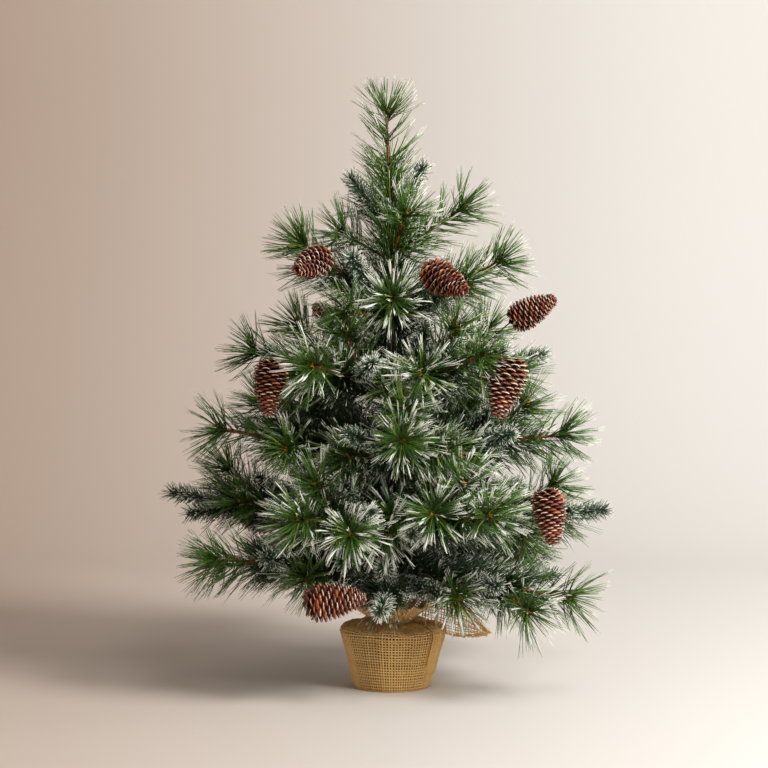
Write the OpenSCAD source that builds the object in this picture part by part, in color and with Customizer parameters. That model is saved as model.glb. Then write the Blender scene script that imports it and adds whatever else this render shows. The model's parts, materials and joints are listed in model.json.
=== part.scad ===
// Small artificial tree on a weighted, burlap-wrapped pot.
// Millimetres, +Z up. The origin is the middle of the face it stands on, and the front is -Y.

/* [Tree] */
// Height from the table to the tip of the leader
tree_h = 610; // [600:1:620]
// Height of the lowest whorl of branches on the trunk
low_whorl_z = 118; // [114:1:122]
// Length of the foliage on a long-needle tip
long_tip_l = 80; // [70:1:84]
// Length of the foliage on a short-needle tip
short_tip_l = 64; // [56:1:66]

/* [Stems] */
// Thickness of a branch's main wire
stem_d = 2.4; // [1.8:0.1:2.6]
// Thickness of a side twig's wire
twig_d = 1.8; // [1.2:0.1:2]
// Firm core of a long-needle tip, across its clamped needles
long_tip_d = 16; // [12:1:17]
// Firm core of a short-needle tip, across its clamped needles
short_tip_d = 13; // [10:1:14]

/* [Pot] */
// Width of the plastic pot at its foot
pot_foot_d = 75; // [70:1:78]
// Width of the plastic pot at its rim
pot_rim_d = 98; // [94:1:100]
// Height of the plastic pot
pot_h = 56; // [50:1:57]
// Thickness of the pot's wall
pot_wall = 1.8; // [1.2:0.1:3]
// Thickness of the folded burlap
burlap_t = 2; // [1.5:0.1:2.5]

/* [Trunk] */
// Width of the steel trunk pole
pole_d = 12; // [10:0.5:12]
// Width over the garland wound round the pole
garland_d = 18; // [16:0.5:18.4]

/* [Dressing] */
// Length of a pinecone
cone_l = 56; // [48:1:58]
// Width of a pinecone with its scales closed
cone_d = 30; // [24:1:31]
// Width of a light bulb
bulb_d = 6; // [5:0.5:7]
// Thickness of the light string's lead
lead_d = 1.4; // [1:0.1:1.6]

/* [Hidden] */
$fn = 40;
LONG = 0;
SHORT = 1;

burlap_floor = 1.6;
pot_z = burlap_floor + 0.05;
pole_z = pot_z + pot_wall + 6;
pole_top_z = 425;
root_r = 12;            // every branch bends here, just outside the garland
leader_z = 428;
wire_gap = 0.08;
stub_l = 18;            // bare end of a wire inside the last needles of its tip

// Side twigs of a branch: [place along the stem, angle from the stem, roll round it, length, kind].
// A roll of 0 leans the twig to the left seen from the trunk, 90 leans it up, 180 to the right.
WIDE = [[0.10, 42, 14, 82, SHORT], [0.24, 42, 190, 98, LONG], [0.40, 42, -10, 98, LONG],
        [0.54, 42, 168, 82, SHORT], [0.70, 40, 12, 82, SHORT], [0.80, 40, 194, 98, LONG]];
BROAD = [[0.12, 42, 10, 98, LONG], [0.22, 42, 192, 82, SHORT], [0.42, 42, -12, 82, SHORT],
         [0.52, 42, 168, 98, LONG], [0.72, 40, 10, 98, LONG], [0.80, 40, 192, 82, SHORT]];
MIDDLE = [[0.12, 44, 12, 82, SHORT], [0.26, 44, 188, 96, LONG], [0.54, 42, -8, 96, LONG],
          [0.66, 42, 170, 82, SHORT]];
TOP = [[0.20, 44, 14, 80, SHORT], [0.44, 44, 186, 94, LONG]];
// The front branch is short, so that the pot shows below it.
NEAR = [[0.16, 44, 4, 84, SHORT], [0.34, 44, 182, 84, SHORT], [0.50, 32, 88, 78, SHORT]];
// Twigs that stand up from a stem and fill the space below the next whorl.
RAISED = [[0.19, 34, 82, 93, LONG], [0.42, 31, 111, 78, SHORT], [0.66, 31, 82, 94, LONG]];
PERKY = [[0.16, 40, 82, 78, SHORT], [0.50, 36, 99, 93, LONG]];

// Branches: [name, root height, heading, rise, stem length, twigs, mirrored, kind of the end tip].
// The heading is counted from +X towards +Y, so the front is 270.
BRANCHES = [
    ["low_branch_1", low_whorl_z, 206, 8, 132, WIDE, 0, LONG],
    ["low_branch_2", low_whorl_z - 6, 265, -6, 66, NEAR, 0, SHORT],
    ["low_branch_3", low_whorl_z, 334, -4, 128, WIDE, 0, LONG],
    ["low_branch_4", low_whorl_z, 42, 3, 132, BROAD, 0, LONG],
    ["low_branch_5", low_whorl_z, 122, 3, 132, WIDE, 0, LONG],
    ["broad_branch_1", 160, 172, 9, 164, concat(BROAD, RAISED), 1, SHORT],
    ["broad_branch_2", 168, 240, 8, 112, concat(WIDE, RAISED), 1, LONG],
    ["broad_branch_3", 167, 302, 9, 112, concat(BROAD, RAISED), 1, LONG],
    ["broad_branch_4", 158, 8, 5, 154, concat(WIDE, RAISED), 1, SHORT],
    ["broad_branch_5", 162, 87, 8, 140, concat(BROAD, RAISED), 1, LONG],
    ["middle_branch_1", 236, 200, 11, 118, concat(MIDDLE, RAISED), 0, LONG],
    ["middle_branch_2", 238, 273, 11, 104, concat(MIDDLE, RAISED), 0, LONG],
    ["middle_branch_3", 240, 338, 8, 118, concat(MIDDLE, RAISED), 0, LONG],
    ["middle_branch_4", 233, 50, 12, 110, concat(MIDDLE, RAISED), 0, SHORT],
    ["middle_branch_5", 236, 126, 12, 112, concat(MIDDLE, RAISED), 0, LONG],
    ["shoulder_branch_1", 306, 170, 15, 84, concat(MIDDLE, PERKY), 1, LONG],
    ["shoulder_branch_2", 304, 240, 13, 92, concat(MIDDLE, PERKY), 1, LONG],
    ["shoulder_branch_3", 308, 306, 15, 88, concat(MIDDLE, PERKY), 1, LONG],
    ["shoulder_branch_4", 306, 19, 11, 100, concat(MIDDLE, PERKY), 1, SHORT],
    ["shoulder_branch_5", 306, 95, 15, 86, concat(MIDDLE, PERKY), 1, SHORT],
    ["top_branch_1", 392, 196, 36, 50, TOP, 0, LONG],
    ["top_branch_2", 370, 270, 18, 46, TOP, 0, LONG],
    ["top_branch_3", 384, 352, 27, 54, TOP, 0, LONG],
    ["top_branch_4", 384, 90, 22, 44, TOP, 0, LONG]
];

// The leader leans a little to the left. Its twigs are counted from its own root.
LEADER_LEAN = 2;
leader_stem = tree_h - leader_z - long_tip_l;
LEADER_TWIGS = [[0.10, 46, 200, 88, LONG], [0.14, 44, 20, 92, LONG], [0.34, 36, 110, 76, SHORT],
                [0.44, 34, 290, 74, SHORT], [0.10, 58, 282, 116, LONG], [0.06, 60, 96, 86, LONG]];

// Pinecones: [name, branch it is wired to, place along that stem, base of the cone, heading, rise, size].
CONES = [
    ["pinecone_1", 20, 0.9, [-66, -56, 438], 236, -14, 0.92],
    ["pinecone_2", 21, 0.6, [34, -72, 426], 318, -22, 1],
    ["pinecone_3", 16, 0.9, [-116, -108, 340], 250, -78, 1],
    ["pinecone_4", 17, 0.9, [116, -116, 343], 220, -70, 1.12],
    ["pinecone_5", 18, 0.5, [120, -14, 373], 350, 28, 0.95],
    ["pinecone_6", 2, 0.9, [148, -134, 218], 300, -78, 1],
    ["pinecone_7", 1, 0.9, [-84, -132, 106], 16, 4, 1.12],
    ["pinecone_8", 9, 0.8, [58, 168, 222], 80, 50, 1],
    ["pinecone_9", 4, 0.8, [-130, 112, 150], 190, 30, 1],
    ["pinecone_10", 19, 0.9, [-46, 90, 352], 150, 40, 1],
    ["pinecone_11", 14, 0.97, [-112, 88, 288], 158, 60, 0.95]
];

// Light runs: [name, branch it is wound along, places of its bulbs along the stem].
LIGHTS = [
    ["light_run_1", 0, [0.45, 0.9]],
    ["light_run_2", 7, [0.3, 0.8]],
    ["light_run_3", 17, [0.52, 0.9]],
    ["light_run_4", 4, [0.3, 0.65, 0.95]],
    ["light_run_5", 3, [0.3, 0.65, 0.95]],
    ["light_run_6", 9, [0.3, 0.65, 0.95]],
    ["light_run_7", 8, [0.3, 0.65]],
    ["light_run_8", 14, [0.4, 0.9]],
    ["light_run_9", 19, [0.4, 0.9]]
];

function tip_l(kind) = kind == LONG ? long_tip_l : short_tip_l;
function tip_d(kind) = kind == LONG ? long_tip_d : short_tip_d;

// A point of a branch's own frame, in the tree's frame.
function on_branch(b, p) =
    let (r = root_r + p.x * cos(b[3]) - p.z * sin(b[3]))
    [r * cos(b[2]) - p.y * sin(b[2]), r * sin(b[2]) + p.y * cos(b[2]),
     b[1] + p.x * sin(b[3]) + p.z * cos(b[3])];

// Turns X to a heading and a rise.
module aim(heading, rise) rotate([0, -rise, heading]) children();

// A round bar between two points.
module bar(from, to, d) {
    run = to - from;
    translate(from) rotate([0, acos(run.z / norm(run)), atan2(run.y, run.x)]) cylinder(h = norm(run), d = d);
}

// The firm core of a tip: needles clamped round a wire that runs along X, from start to end.
module tip_core(start, end, d, wire_d) {
    bore_r = wire_d / 2 + wire_gap;
    length = end - start;
    translate([start, 0, 0]) rotate([0, 90, 0]) rotate_extrude()
        polygon([[bore_r, 0], [0.3 * d, 0], [0.5 * d, 0.2 * length],
                 [0.46 * d, 0.72 * length], [0.22 * d, length], [bore_r, length]]);
}

// A stem along X that ends in a tip, with side twigs. Wires and cores are separate solids.
module sprig(stem_l, twigs, mirrored, kind) {
    end = stem_l + tip_l(kind);
    rotate([0, 90, 0]) cylinder(h = end - stub_l, d = stem_d);
    tip_core(stem_l, end, tip_d(kind), stem_d);
    for (t = twigs) {
        roll = mirrored ? 180 - t[2] : t[2];
        clear = (stem_d + twig_d) / 2 / sin(t[1]) + 0.9;
        translate([t[0] * stem_l, 0, 0]) rotate([roll, 0, 0]) rotate([0, 0, t[1]]) {
            translate([clear, 0, 0]) rotate([0, 90, 0]) cylinder(h = t[3] - stub_l - clear, d = twig_d);
            tip_core(t[3] - tip_l(t[4]), t[3], tip_d(t[4]), twig_d);
        }
    }
}

module branch(b) color("darkgreen")
    translate([0, 0, b[1]]) rotate([0, 0, b[2]]) translate([root_r, 0, 0]) rotate([0, -b[3], 0]) {
        root_loop();
        sprig(b[4], b[5], b[6], b[7]);
    }

// The tight loop in which a wire bends where it leaves the trunk. Its bore is the bend's axis.
module root_loop() rotate([90, 0, 0]) difference() {
    cylinder(h = 4, d = 4.6, center = true);
    cylinder(h = 5, d = 1.2, center = true);
}

module leader() color("darkgreen")
    translate([0, 0, leader_z]) rotate([0, -90 - LEADER_LEAN, 0]) {
        root_loop();
        sprig(leader_stem, LEADER_TWIGS, 0, LONG);
    }

module cement_weight() color("gray") {
    foot_r = pot_foot_d / 2 - pot_wall;
    rim_r = pot_rim_d / 2 - pot_wall;
    low = pot_z + pot_wall + 0.05;
    high = pot_z + pot_h - 6;
    slope = (rim_r - foot_r) / pot_h;
    difference() {
        translate([0, 0, low])
            cylinder(h = high - low, r1 = foot_r - 0.4, r2 = foot_r - 0.4 + slope * (high - low), $fn = 72);
        translate([0, 0, pole_z]) cylinder(h = pot_h, d = pole_d + 0.1);
    }
}

module pot() color("darkolivegreen") translate([0, 0, pot_z]) rotate_extrude($fn = 72)
    polygon([[0, 0], [pot_foot_d / 2, 0], [pot_rim_d / 2, pot_h], [pot_rim_d / 2 - pot_wall, pot_h],
             [pot_foot_d / 2 - pot_wall, pot_wall], [0, pot_wall]]);

module trunk_pole() color("saddlebrown") difference() {
    translate([0, 0, pole_z]) cylinder(h = pole_top_z - pole_z, d = pole_d);
    translate([0, 0, pole_z - 1]) cylinder(h = pole_top_z - pole_z + 2, d = pole_d - 2);
}

module trunk_garland() color("darkgreen") difference() {
    translate([0, 0, garland_z]) cylinder(h = pole_top_z - garland_z, d = garland_d);
    translate([0, 0, garland_z - 1]) cylinder(h = pole_top_z, d = pole_d + 0.1);
}

// The burlap follows the pot, rolls over its rim, is drawn in to the trunk and flares out again.
wall_gap = 0.4;
neck_r = 13;
neck_z = pot_z + pot_h + 9;
collar_r = 40;
collar_z = neck_z + 20;
garland_z = collar_z + 2;

module burlap_wrap() color("peru") {
    foot_r = pot_foot_d / 2 + wall_gap;
    rim_r = pot_rim_d / 2 + wall_gap;
    rim_z = pot_z + pot_h;
    rotate_extrude($fn = 72) polygon([
        [0, 0], [foot_r + burlap_t - 1, 0], [foot_r + burlap_t, 1],
        [rim_r + burlap_t, rim_z - 8], [rim_r + burlap_t + 1, rim_z - 2], [rim_r + burlap_t - 1, rim_z + 3],
        [rim_r - 6, rim_z + 4.5], [neck_r + 5, neck_z], [collar_r, collar_z - 4], [collar_r, collar_z - 2],
        [neck_r + 1, neck_z + 3], [neck_r - 4, neck_z + 1], [neck_r, neck_z - 3],
        [rim_r - 8, rim_z + 2], [rim_r, rim_z + 0.6], [rim_r, rim_z],
        [foot_r, burlap_floor], [0, burlap_floor]]);
    loose_corner();
}

// The corner of the square that hangs out at the right, a flat fan from the neck.
corner_reach = 100;
module loose_corner() rotate([0, 0, -10]) translate([0, burlap_t / 2, 0]) rotate([90, 0, 0])
    linear_extrude(burlap_t) polygon([
        [collar_r - 8, collar_z - 6], [64, collar_z - 2], [82, collar_z - 6], [corner_reach - 5, collar_z - 22],
        [corner_reach, collar_z - 38], [84, collar_z - 36], [66, collar_z - 30], [collar_r + 2, collar_z - 16]]);

// Two turns of twine in the crease between the gathered top and the collar.
module jute_tie() color("tan") for (turn = [0, 1])
    translate([0, 0, neck_z + 0.2 - 2.2 * turn])
        rotate_extrude() translate([neck_r + 7.5 + 1.6 * turn, 0]) circle(d = 2, $fn = 24);

// Half outline of a closed pinecone: [share of its length, share of its radius].
CONE_OUTLINE = [
    [0, 0.30], [0.05, 0.72], [0.2, 0.98], [0.36, 1], [0.6, 0.82], [0.8, 0.55], [0.94, 0.28], [1, 0]];
pick_d = 1.2;

module pinecone(c) color("sienna") {
    long = cone_l * c[6];
    r = cone_d / 2 * c[6];
    b = BRANCHES[c[1]];
    wire_end = on_branch(b, [c[2] * b[4], 0, 0]);
    bar(wire_end, c[3], pick_d);
    translate(c[3]) aim(c[4], c[5]) rotate([0, 90, 0]) rotate_extrude()
        polygon(concat([[0, 0]], [for (p = CONE_OUTLINE) [p[1] * r, p[0] * long]]));
}

// A tube with flat-ended sides swept along points whose run is mostly along one direction.
SIDES = 8;
module lead(points, d) {
    count = len(points);
    across = function (k) let (run = points[min(k + 1, count - 1)] - points[max(k - 1, 0)]) run / norm(run);
    rings = [for (k = [0 : count - 1]) let (x = across(k), side = cross(x, [0, 0, 1]), y = side / norm(side),
             z = cross(x, y)) for (i = [0 : SIDES - 1])
             points[k] + d / 2 * (cos(360 * i / SIDES) * y + sin(360 * i / SIDES) * z)];
    walls = [for (k = [0 : count - 2]) for (i = [0 : SIDES - 1]) let (j = (i + 1) % SIDES)
             [k * SIDES + i, (k + 1) * SIDES + i, (k + 1) * SIDES + j, k * SIDES + j]];
    start = [for (i = [0 : SIDES - 1]) i];
    end = [for (i = [SIDES - 1 : -1 : 0]) (count - 1) * SIDES + i];
    polyhedron(points = rings, faces = concat([start], walls, [end]), convexity = 4);
}

// A lead wound loosely along a branch, under its stem, with its bulbs standing up beside the stem.
lead_drop = 3.4;
bulb_rise = 13;
socket_l = 8;
socket_d = 3.4;
module light_run(l) color("forestgreen") {
    b = BRANCHES[l[1]];
    lead([for (k = [0.08 : 0.08 : 1]) on_branch(b, [k * b[4], 1.5 * sin(k * 900), -lead_drop])], lead_d);
    for (k = [0 : len(l[2]) - 1]) {
        side = k % 2 == 0 ? 1 : -1;
        foot = on_branch(b, [l[2][k] * b[4], side * 3.6, -lead_drop + 2]);
        head = on_branch(b, [l[2][k] * b[4] + 3, side * 8, bulb_rise]);
        up = (head - foot) / norm(head - foot);
        bar(head - up * (socket_l + bulb_d / 2 + 0.1), head - up * (bulb_d / 2 + 0.1), socket_d);
        translate(head) sphere(d = bulb_d, $fn = 24);
    }
}

cement_weight();
pot();
trunk_pole();
trunk_garland();
burlap_wrap();
jute_tie();
leader();
for (b = BRANCHES) branch(b);
for (c = CONES) pinecone(c);
for (l = LIGHTS) light_run(l);
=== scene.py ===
# %% [markdown]
# # A snow-tipped tabletop tree
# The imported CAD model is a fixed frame: a weighted pot, a trunk, 24 wired branches and a leader, each with
# its joint. This lesson dresses that frame: every branch gets its needles, snow and twisted wire, every
# pinecone its scales, and the pot its woven burlap. All of it is placed from the frame itself.

# %% Load the frame
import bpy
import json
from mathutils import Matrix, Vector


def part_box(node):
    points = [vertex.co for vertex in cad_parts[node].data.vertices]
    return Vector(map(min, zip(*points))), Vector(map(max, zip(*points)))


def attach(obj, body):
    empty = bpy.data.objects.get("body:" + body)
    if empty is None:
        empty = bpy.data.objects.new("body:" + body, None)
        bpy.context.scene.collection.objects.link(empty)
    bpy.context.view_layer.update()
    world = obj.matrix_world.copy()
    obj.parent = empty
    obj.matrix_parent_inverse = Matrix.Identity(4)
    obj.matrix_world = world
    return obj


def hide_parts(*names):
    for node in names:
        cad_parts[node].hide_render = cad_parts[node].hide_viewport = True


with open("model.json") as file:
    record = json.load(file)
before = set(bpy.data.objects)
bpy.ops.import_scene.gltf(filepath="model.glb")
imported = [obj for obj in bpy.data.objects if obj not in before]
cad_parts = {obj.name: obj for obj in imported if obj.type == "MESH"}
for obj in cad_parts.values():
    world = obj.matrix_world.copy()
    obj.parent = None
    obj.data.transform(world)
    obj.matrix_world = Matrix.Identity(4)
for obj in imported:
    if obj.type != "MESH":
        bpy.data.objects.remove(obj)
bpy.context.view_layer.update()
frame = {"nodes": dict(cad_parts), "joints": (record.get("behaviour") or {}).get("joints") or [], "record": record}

import json
import math

import bpy
import numpy as np
from mathutils import Vector

MM = 0.001
nodes, record = frame["nodes"], frame["record"]

# %% [markdown]
# ## The camera
# The eye is a little above the middle of the tree and looks slightly down, so the top of the pot shows as
# a thin ellipse. A long lens from two metres keeps the near branches from growing too much.

# %% Camera
EYE = Vector((-8 * MM, -2.2, 470 * MM))
AIM = Vector((-8 * MM, 0, 309 * MM))
VIEW_WIDTH = 0.7795
SENSOR = 36

camera_data = bpy.data.cameras.new("camera")
camera_data.sensor_width = SENSOR
camera_data.lens = SENSOR * (AIM - EYE).length / VIEW_WIDTH
camera = bpy.data.objects.new("camera", camera_data)
camera.location = EYE
camera.rotation_euler = (AIM - EYE).to_track_quat("-Z", "Y").to_euler()
bpy.context.scene.collection.objects.link(camera)
bpy.context.scene.camera = camera
print("lens", round(camera_data.lens, 1), "mm")

# %% [markdown]
# ## Many small pieces in one mesh
# A branch has a few thousand needles. Making each one as an object, or with a modifier, would be slow, so
# all needles of a branch are swept at once with arrays, as thin closed strands, and end in one mesh. Each
# vertex keeps two marks for the shaders: how far along its strand it is, and how much snow the strand has.

# %% Strands and bundles
def unit(v):
    return v / np.maximum(np.linalg.norm(v, axis=-1, keepdims=True), 1e-12)


def strand_triangles(rings, sides):
    """Walls and two end caps of one closed strand."""
    faces = []
    for ring in range(rings - 1):
        for i in range(sides):
            j = (i + 1) % sides
            a, b, c, d = ring * sides + i, ring * sides + j, (ring + 1) * sides + j, (ring + 1) * sides + i
            faces += [(a, b, c), (a, c, d)]
    last = (rings - 1) * sides
    faces += [(0, i + 1, i) for i in range(1, sides - 1)]
    faces += [(last, last + i, last + i + 1) for i in range(1, sides - 1)]
    return np.array(faces)


def strands(path, width, roll, sides=3, thick=0.6, twist=0.0):
    """Points and triangles of strands: path (count, rings, 3), width (count, rings), roll (count, 3)."""
    count, rings, _ = path.shape
    run = unit(np.gradient(path, axis=1))
    side = unit(np.cross(run, roll[:, None, :] + 0.0 * run))
    up = np.cross(side, run)
    turn = 2 * math.pi * np.arange(sides) / sides + twist * np.arange(rings)[:, None]
    section = (np.cos(turn)[None, :, :, None] * side[:, :, None, :]
               + thick * np.sin(turn)[None, :, :, None] * up[:, :, None, :])
    points = path[:, :, None, :] + 0.5 * width[:, :, None, None] * section
    one = strand_triangles(rings, sides)
    offset = (np.arange(count) * rings * sides)[:, None, None]
    along = np.broadcast_to(np.linspace(0, 1, rings)[None, :, None], (count, rings, sides))
    return points.reshape(-1, 3), (one[None] + offset).reshape(-1, 3), along.reshape(-1)


class Bundle:
    """Gathers strands and other small solids that end in one mesh."""

    def __init__(self):
        self.points, self.faces, self.slots, self.along, self.frost, self.size = [], [], [], [], [], 0

    def add(self, points, faces, slot, along=None, frost=0.0):
        zero = np.zeros(len(points))
        self.points.append(points)
        self.faces.append(faces + self.size)
        self.slots.append(np.full(len(faces), slot))
        self.along.append(zero if along is None else along)
        self.frost.append(zero + frost)
        self.size += len(points)

    def sweep(self, path, width, roll, slot, frost=0.0, **shape):
        points, faces, along = strands(path, width, roll, **shape)
        if np.ndim(frost):
            frost = np.repeat(frost, len(points) // len(frost))
        self.add(points, faces, slot, along, frost)

    def build(self, name, materials, smooth=True):
        points, faces = np.concatenate(self.points), np.concatenate(self.faces)
        mesh = bpy.data.meshes.new(name)
        mesh.vertices.add(len(points))
        mesh.vertices.foreach_set("co", points.astype(np.float32).ravel())
        mesh.loops.add(faces.size)
        mesh.loops.foreach_set("vertex_index", faces.astype(np.int32).ravel())
        mesh.polygons.add(len(faces))
        mesh.polygons.foreach_set("loop_start", np.arange(0, faces.size, 3, dtype=np.int32))
        mesh.polygons.foreach_set("material_index", np.concatenate(self.slots).astype(np.int32))
        mesh.polygons.foreach_set("use_smooth", np.full(len(faces), smooth))
        for mark, values in (("along", self.along), ("frost", self.frost)):
            layer = mesh.attributes.new(mark, "FLOAT", "POINT")
            layer.data.foreach_set("value", np.concatenate(values).astype(np.float32))
        mesh.update(calc_edges=True)
        for material in materials:
            mesh.materials.append(material)
        piece = bpy.data.objects.new(name, mesh)
        bpy.context.scene.collection.objects.link(piece)
        return piece


def beside(axis):
    """Two directions square to axis and to each other."""
    helper = np.array((0.0, 0.0, 1.0)) if abs(axis[2]) < 0.9 else np.array((0.0, 1.0, 0.0))
    side = unit(np.cross(axis, helper))
    return side, np.cross(side, axis)


def leaning(axis, lean, turn):
    """Directions that lean away from axis, at a turn round it."""
    side, up = beside(axis)
    return (np.cos(lean)[:, None] * axis
            + np.sin(lean)[:, None] * (np.cos(turn)[:, None] * side + np.sin(turn)[:, None] * up))


def arc(base, middle, tip, shares):
    """Points of the curves from base to tip that lean towards middle, at the given shares."""
    t = np.asarray(shares)[None, :, None]
    return (1 - t) ** 2 * base[:, None] + 2 * t * (1 - t) * middle[:, None] + t ** 2 * tip[:, None]


print("one needle has", len(strand_triangles(3, 3)), "triangles")

# %% [markdown]
# ## Reading the twigs from the frame
# In CAD a branch is a set of loose solids: thin wires, and thick cores where the needles are clamped. The
# solids are taken apart by following their edges, and each one's long axis comes from its own points.

# %% Twigs of the frame
CORE_RADIUS = 4 * MM
LONG_CORE = 72 * MM


def loose_parts(node):
    """The points of each loose solid of a CAD node."""
    mesh = nodes[node].data
    points = np.empty(len(mesh.vertices) * 3)
    mesh.vertices.foreach_get("co", points)
    points = points.reshape(-1, 3)
    edges = np.empty(len(mesh.edges) * 2, int)
    mesh.edges.foreach_get("vertices", edges)
    _, weld = np.unique(np.round(points / (0.02 * MM)).astype(int), axis=0, return_inverse=True)
    weld = weld.reshape(-1)
    a, b = weld[edges].reshape(-1, 2).T
    label = np.arange(weld.max() + 1)
    while True:
        low = label.copy()
        np.minimum.at(low, a, label[b])
        np.minimum.at(low, b, label[a])
        low = low[low]
        if (low == label).all():
            break
        label = low
    label = label[weld]
    return [np.unique(np.round(points[label == k], 7), axis=0) for k in np.unique(label)]


def long_axis(points):
    """The two ends of a slender solid's axis, and its radius."""
    middle = points.mean(0)
    axis = np.linalg.svd(points - middle, full_matrices=False)[2][0]
    run = (points - middle) @ axis
    across = np.linalg.norm(points - middle - run[:, None] * axis, axis=1)
    return middle + run.min() * axis, middle + run.max() * axis, across.max()


joint_of = {joint["child"]: joint for joint in frame["joints"]}
branches = {}
for body, joint in joint_of.items():
    root = np.array(joint["pos_m"])
    name = body.removesuffix("_body")
    wires, cores = [], []
    for part in loose_parts(name):
        a, b, radius = long_axis(part)
        if np.linalg.norm(b - root) < np.linalg.norm(a - root):
            a, b = b, a
        (cores if radius > CORE_RADIUS else wires).append((a, b))
    wires.sort(key=lambda w: np.linalg.norm(w[0] - root))
    branches[name] = {"root": root, "body": body, "wires": wires, "cores": cores}
tips = sum(len(b["cores"]) for b in branches.values())
print(len(branches), "branches with", tips, "tips")

# %% [markdown]
# ## Shared shader effects
# Needles, bark, scales and threads all need the same three things: a colour that varies from one small
# piece to the next, snow that breaks up at its edge, and a fine grain. Each is a node group with named
# inputs, built once and placed in every material with its own values.

# %% Node group helpers
def socket(group, name, kind, inout, default=None):
    made = group.interface.new_socket(name=name, in_out=inout, socket_type="NodeSocket" + kind)
    if default is not None:
        made.default_value = default
    return made


def add(tree, kind, **settings):
    node = tree.nodes.new("ShaderNode" + kind)
    for key, value in settings.items():
        if key in node.inputs:
            node.inputs[key].default_value = value
        else:
            setattr(node, key, value)
    return node


def wire(tree, *pairs):
    for start, end in pairs:
        tree.links.new(start, end)


def new_group(name):
    group = bpy.data.node_groups.new(name, "ShaderNodeTree")
    return group, group.nodes.new("NodeGroupInput"), group.nodes.new("NodeGroupOutput")


# %% Group: colour that varies
def make_varied_colour():
    """A dark, a light and an odd colour, mixed by small piece and by a soft cloud."""
    group, gin, gout = new_group("varied_colour")
    for name, kind, default in (("Dark", "Color", (0, 0, 0, 1)), ("Light", "Color", (1, 1, 1, 1)),
                                ("Odd", "Color", (1, 1, 0, 1)), ("Odd Share", "Float", 0.1),
                                ("Cloud Scale", "Float", 30.0)):
        socket(group, name, kind, "INPUT", default)
    socket(group, "Color", "Color", "OUTPUT")
    place = add(group, "TexCoord")
    cloud = add(group, "TexNoise", Detail=3.0)
    island = add(group, "NewGeometry")
    share = add(group, "Math", operation="MULTIPLY_ADD")
    share.inputs[1].default_value = 0.65
    scaled = add(group, "Math", operation="MULTIPLY")
    scaled.inputs[1].default_value = 0.4
    body = add(group, "Mix", data_type="RGBA")
    jumble = add(group, "Math", operation="MULTIPLY")
    jumble.inputs[1].default_value = 7.31
    part = add(group, "Math", operation="FRACT")
    odd = add(group, "Math", operation="LESS_THAN")
    final = add(group, "Mix", data_type="RGBA")
    random = island.outputs["Random Per Island"]
    wire(group, (place.outputs["Object"], cloud.inputs["Vector"]),
         (gin.outputs["Cloud Scale"], cloud.inputs["Scale"]), (cloud.outputs["Fac"], scaled.inputs[0]),
         (random, share.inputs[0]), (scaled.outputs[0], share.inputs[2]),
         (share.outputs[0], body.inputs["Factor"]), (gin.outputs["Dark"], body.inputs["A"]),
         (gin.outputs["Light"], body.inputs["B"]), (random, jumble.inputs[0]),
         (jumble.outputs[0], part.inputs[0]), (part.outputs[0], odd.inputs[0]),
         (gin.outputs["Odd Share"], odd.inputs[1]),
         (odd.outputs[0], final.inputs["Factor"]), (body.outputs["Result"], final.inputs["A"]),
         (gin.outputs["Odd"], final.inputs["B"]), (final.outputs["Result"], gout.inputs["Color"]))
    return group


# %% Group: snow that breaks up
def make_snow_mask():
    """White from the far end of a strand inwards, by its frost mark, with a ragged edge."""
    group, gin, gout = new_group("snow_mask")
    socket(group, "Grain Scale", "Float", "INPUT", 700.0)
    socket(group, "Raggedness", "Float", "INPUT", 0.5)
    socket(group, "Mask", "Float", "OUTPUT")
    along = add(group, "Attribute", attribute_name="along")
    frost = add(group, "Attribute", attribute_name="frost")
    place = add(group, "TexCoord")
    grain = add(group, "TexNoise", Detail=4.0)
    reach = add(group, "Math", operation="ADD")
    centred = add(group, "Math", operation="SUBTRACT")
    centred.inputs[1].default_value = 0.5
    rough = add(group, "Math", operation="MULTIPLY_ADD")
    edge = add(group, "MapRange", interpolation_type="SMOOTHSTEP")
    edge.inputs["From Min"].default_value = 0.95
    edge.inputs["From Max"].default_value = 1.12
    wire(group, (place.outputs["Object"], grain.inputs["Vector"]),
         (gin.outputs["Grain Scale"], grain.inputs["Scale"]),
         (along.outputs["Fac"], reach.inputs[0]), (frost.outputs["Fac"], reach.inputs[1]),
         (grain.outputs["Fac"], centred.inputs[0]), (centred.outputs[0], rough.inputs[0]),
         (gin.outputs["Raggedness"], rough.inputs[1]), (reach.outputs[0], rough.inputs[2]),
         (rough.outputs[0], edge.inputs["Value"]), (edge.outputs["Result"], gout.inputs["Mask"]))
    return group


# %% Group: grain
def make_grain():
    """A fine height for bumps, with a scale along each axis."""
    group, gin, gout = new_group("grain")
    socket(group, "Scale", "Float", "INPUT", 900.0)
    socket(group, "Stretch", "Vector", "INPUT", (1.0, 1.0, 1.0))
    socket(group, "Height", "Float", "OUTPUT")
    place = add(group, "TexCoord")
    stretch = add(group, "VectorMath", operation="MULTIPLY")
    noise = add(group, "TexNoise", Detail=5.0, Roughness=0.6)
    wire(group, (place.outputs["Object"], stretch.inputs[0]), (gin.outputs["Stretch"], stretch.inputs[1]),
         (stretch.outputs[0], noise.inputs["Vector"]), (gin.outputs["Scale"], noise.inputs["Scale"]),
         (noise.outputs["Fac"], gout.inputs["Height"]))
    return group


GROUPS = {"colour": make_varied_colour(), "snow": make_snow_mask(), "grain": make_grain()}
print("groups", [g.name for g in GROUPS.values()])


# %% Material helper
def place_group(tree, key, **values):
    node = tree.nodes.new("ShaderNodeGroup")
    node.node_tree = GROUPS[key]
    for name, value in values.items():
        node.inputs[name.replace("_", " ")].default_value = value
    return node


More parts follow.
